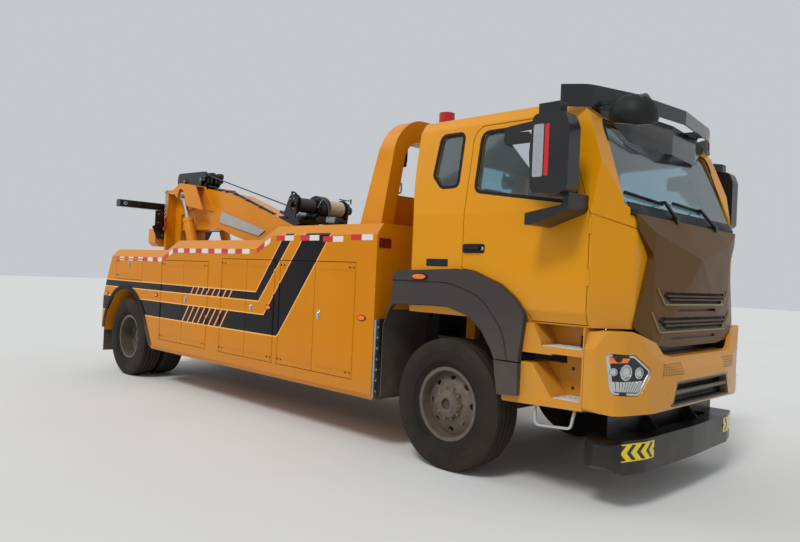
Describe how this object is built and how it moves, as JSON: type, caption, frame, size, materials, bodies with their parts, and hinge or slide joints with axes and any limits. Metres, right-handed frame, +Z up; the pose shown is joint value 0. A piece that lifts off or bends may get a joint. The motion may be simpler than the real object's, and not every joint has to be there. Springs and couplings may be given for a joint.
{
  "type": "tow truck with a one-piece boom",
  "caption": "Cab-over recovery truck with locker bodies, a telescoping boom over the rear axle and a folded underlift with a crossbar.",
  "frame": {"origin": "on the ground below the middle of the whole truck", "axes": "+X forward, +Y to the truck's left, +Z up"},
  "size_m": [8.55, 3.04, 3.1198],
  "materials": {
    "frame_black": "satin black chassis paint",
    "axle_black": "black-painted forging",
    "engine_grey": "plain cast block",
    "body_orange": "gloss orange-yellow body paint",
    "cab_yellow": "gloss yellow cab paint",
    "panel_brown": "gloss bronze-brown panel",
    "fender_grey": "grained dark grey plastic",
    "black_plastic": "satin black plastic",
    "visor_smoke": "smoked sheet",
    "glass": "clear safety glass",
    "lamp_glass": "clear lamp cover",
    "beacon_red": "red beacon dome",
    "tyre": "black rubber tyre",
    "rim_steel": "silver-painted steel wheel",
    "silver": "silver sheet",
    "seat_fabric": "dark seat cloth",
    "chrome": "hard-chromed rod",
    "boom_black": "gloss black steel",
    "rubber": "black rubber sheet"
  },
  "bodies": {
    "chassis": {"body_left": "body_orange", "body_right": "body_orange", "boom_pedestal": "body_orange", "bumper": "cab_yellow", "cab_glass": "glass", "cab_shell": "cab_yellow", "chassis_frame": "frame_black", "dashboard": "black_plastic", "deck": "frame_black", "engine_block": "engine_grey", "fenders": "fender_grey", "front_axle_beam": "axle_black", "front_panel": "panel_brown", "headboard": "body_orange", "lamps": "lamp_glass", "mud_flaps": "rubber", "rear_axle": "axle_black", "seats": "seat_fabric", "springs": "axle_black", "step_boxes": "cab_yellow", "under_bar": "boom_black", "visor": "visor_smoke"},
    "boom": {"boom_outer": "body_orange", "winches": "boom_black"},
    "boom_inner": {"boom_inner": "boom_black"},
    "lift_barrels": {"lift_barrels": "body_orange"},
    "lift_rods": {"lift_rods": "chrome"},
    "underlift": {"underlift_outer": "body_orange"},
    "underlift_inner": {"underlift_inner": "boom_black"},
    "crossbar": {"crossbar": "boom_black"},
    "knuckle_left": {"knuckle_left": "axle_black"},
    "front_wheel_left": {"front_tyre_left": "tyre", "front_rim_left": "rim_steel"},
    "rear_wheels_left": {"rear_tyres_left": "tyre", "rear_rims_left": "rim_steel"},
    "cab_door_left": {"cab_door_left": "cab_yellow", "door_glass_left": "glass", "door_mirror_left": "black_plastic"},
    "locker_front_a_left": {"locker_front_a_left": "body_orange"},
    "locker_front_b_left": {"locker_front_b_left": "body_orange"},
    "locker_middle_a_left": {"locker_middle_a_left": "body_orange"},
    "locker_middle_b_left": {"locker_middle_b_left": "body_orange"},
    "locker_rear_a_left": {"locker_rear_a_left": "body_orange"},
    "locker_rear_b_left": {"locker_rear_b_left": "body_orange"},
    "locker_upper_left": {"locker_upper_left": "body_orange"},
    "knuckle_right": {"knuckle_right": "axle_black"},
    "front_wheel_right": {"front_tyre_right": "tyre", "front_rim_right": "rim_steel"},
    "rear_wheels_right": {"rear_tyres_right": "tyre", "rear_rims_right": "rim_steel"},
    "cab_door_right": {"cab_door_right": "cab_yellow", "door_glass_right": "glass", "door_mirror_right": "black_plastic"},
    "locker_front_a_right": {"locker_front_a_right": "body_orange"},
    "locker_front_b_right": {"locker_front_b_right": "body_orange"},
    "locker_middle_a_right": {"locker_middle_a_right": "body_orange"},
    "locker_middle_b_right": {"locker_middle_b_right": "body_orange"},
    "locker_rear_a_right": {"locker_rear_a_right": "body_orange"},
    "locker_rear_b_right": {"locker_rear_b_right": "body_orange"},
    "locker_upper_right": {"locker_upper_right": "body_orange"}
  },
  "joints": [
    {"name": "boom_lift", "type": "hinge", "parent": "chassis", "child": "boom", "pos_m": [-0.625, 0, 1.76], "axis": [0, 1, 0], "range_deg": [-3, 20]},
    {"name": "boom_extend", "type": "slide", "parent": "boom", "child": "boom_inner", "axis": [-0.9511, 0, 0.309], "range_m": [0, 1.1]},
    {"name": "cylinder_tilt", "type": "hinge", "parent": "chassis", "child": "lift_barrels", "pos_m": [-2.77, 0, 1.2], "axis": [0, 1, 0], "range_deg": [-3.5, 20.5]},
    {"name": "rod_slide", "type": "slide", "parent": "lift_barrels", "child": "lift_rods", "axis": [-0.4211, 0, 0.907], "range_m": [-0.12, 0.78]},
    {"name": "underlift_fold", "type": "hinge", "parent": "boom", "child": "underlift", "pos_m": [-4.065, 0, 0.72], "axis": [0, -1, 0], "range_deg": [0, 95]},
    {"name": "underlift_extend", "type": "slide", "parent": "underlift", "child": "underlift_inner", "axis": [0, 0, 1], "range_m": [0, 0.8]},
    {"name": "crossbar_swivel", "type": "hinge", "parent": "underlift_inner", "child": "crossbar", "pos_m": [-4.21, 0, 2.465], "axis": [1, 0, 0], "range_deg": [-20, 20]},
    {"name": "steer_left", "type": "hinge", "parent": "chassis", "child": "knuckle_left", "pos_m": [2.675, 0.79, 0.53], "axis": [0, 0, 1], "range_deg": [-32, 32]},
    {"name": "front_wheel_spin_left", "type": "hinge", "parent": "knuckle_left", "child": "front_wheel_left", "pos_m": [2.675, 1.012, 0.53], "axis": [0, 1, 0], "continuous": true},
    {"name": "rear_wheels_spin_left", "type": "hinge", "parent": "chassis", "child": "rear_wheels_left", "pos_m": [-3.125, 0.9, 0.53], "axis": [0, 1, 0], "continuous": true},
    {"name": "cab_door_hinge_left", "type": "hinge", "parent": "chassis", "child": "cab_door_left", "pos_m": [3.929, 1.196, 1.76], "axis": [0, 0, -1], "range_deg": [0, 68]},
    {"name": "locker_front_hinge_a_left", "type": "hinge", "parent": "chassis", "child": "locker_front_a_left", "pos_m": [0.495, 1.25, 1.1], "axis": [0, 0, 1], "range_deg": [0, 88]},
    {"name": "locker_front_hinge_b_left", "type": "hinge", "parent": "chassis", "child": "locker_front_b_left", "pos_m": [1.645, 1.25, 1.1], "axis": [0, 0, -1], "range_deg": [0, 88]},
    {"name": "locker_middle_hinge_a_left", "type": "hinge", "parent": "chassis", "child": "locker_middle_a_left", "pos_m": [-0.625, 1.25, 1.1], "axis": [0, 0, 1], "range_deg": [0, 88]},
    {"name": "locker_middle_hinge_b_left", "type": "hinge", "parent": "chassis", "child": "locker_middle_b_left", "pos_m": [0.405, 1.25, 1.1], "axis": [0, 0, -1], "range_deg": [0, 88]},
    {"name": "locker_rear_hinge_a_left", "type": "hinge", "parent": "chassis", "child": "locker_rear_a_left", "pos_m": [-2.075, 1.25, 1.1], "axis": [0, 0, 1], "range_deg": [0, 88]},
    {"name": "locker_rear_hinge_b_left", "type": "hinge", "parent": "chassis", "child": "locker_rear_b_left", "pos_m": [-0.925, 1.25, 1.1], "axis": [0, 0, -1], "range_deg": [0, 88]},
    {"name": "locker_upper_hinge_left", "type": "hinge", "parent": "chassis", "child": "locker_upper_left", "pos_m": [-3.04, 1.25, 1.61], "axis": [1, 0, 0], "range_deg": [0, 95]},
    {"name": "steer_right", "type": "hinge", "parent": "chassis", "child": "knuckle_right", "pos_m": [2.675, -0.79, 0.53], "axis": [0, 0, 1], "range_deg": [-32, 32]},
    {"name": "front_wheel_spin_right", "type": "hinge", "parent": "knuckle_right", "child": "front_wheel_right", "pos_m": [2.675, -1.012, 0.53], "axis": [0, 1, 0], "continuous": true},
    {"name": "rear_wheels_spin_right", "type": "hinge", "parent": "chassis", "child": "rear_wheels_right", "pos_m": [-3.125, -0.9, 0.53], "axis": [0, 1, 0], "continuous": true},
    {"name": "cab_door_hinge_right", "type": "hinge", "parent": "chassis", "child": "cab_door_right", "pos_m": [3.929, -1.196, 1.76], "axis": [0, 0, 1], "range_deg": [0, 68]},
    {"name": "locker_front_hinge_a_right", "type": "hinge", "parent": "chassis", "child": "locker_front_a_right", "pos_m": [0.495, -1.25, 1.1], "axis": [0, 0, -1], "range_deg": [0, 88]},
    {"name": "locker_front_hinge_b_right", "type": "hinge", "parent": "chassis", "child": "locker_front_b_right", "pos_m": [1.645, -1.25, 1.1], "axis": [0, 0, 1], "range_deg": [0, 88]},
    {"name": "locker_middle_hinge_a_right", "type": "hinge", "parent": "chassis", "child": "locker_middle_a_right", "pos_m": [-0.625, -1.25, 1.1], "axis": [0, 0, -1], "range_deg": [0, 88]},
    {"name": "locker_middle_hinge_b_right", "type": "hinge", "parent": "chassis", "child": "locker_middle_b_right", "pos_m": [0.405, -1.25, 1.1], "axis": [0, 0, 1], "range_deg": [0, 88]},
    {"name": "locker_rear_hinge_a_right", "type": "hinge", "parent": "chassis", "child": "locker_rear_a_right", "pos_m": [-2.075, -1.25, 1.1], "axis": [0, 0, -1], "range_deg": [0, 88]},
    {"name": "locker_rear_hinge_b_right", "type": "hinge", "parent": "chassis", "child": "locker_rear_b_right", "pos_m": [-0.925, -1.25, 1.1], "axis": [0, 0, 1], "range_deg": [0, 88]},
    {"name": "locker_upper_hinge_right", "type": "hinge", "parent": "chassis", "child": "locker_upper_right", "pos_m": [-3.04, -1.25, 1.61], "axis": [-1, 0, 0], "range_deg": [0, 95]}
  ],
  "couplings": [
    {"joint": "steer_right", "follows": "steer_left", "ratio": 1},
    {"joint": "cylinder_tilt", "follows": "boom_lift", "ratio": 0.99},
    {"joint": "rod_slide", "follows": "boom_lift", "m_per_rad": 2.19}
  ]
}
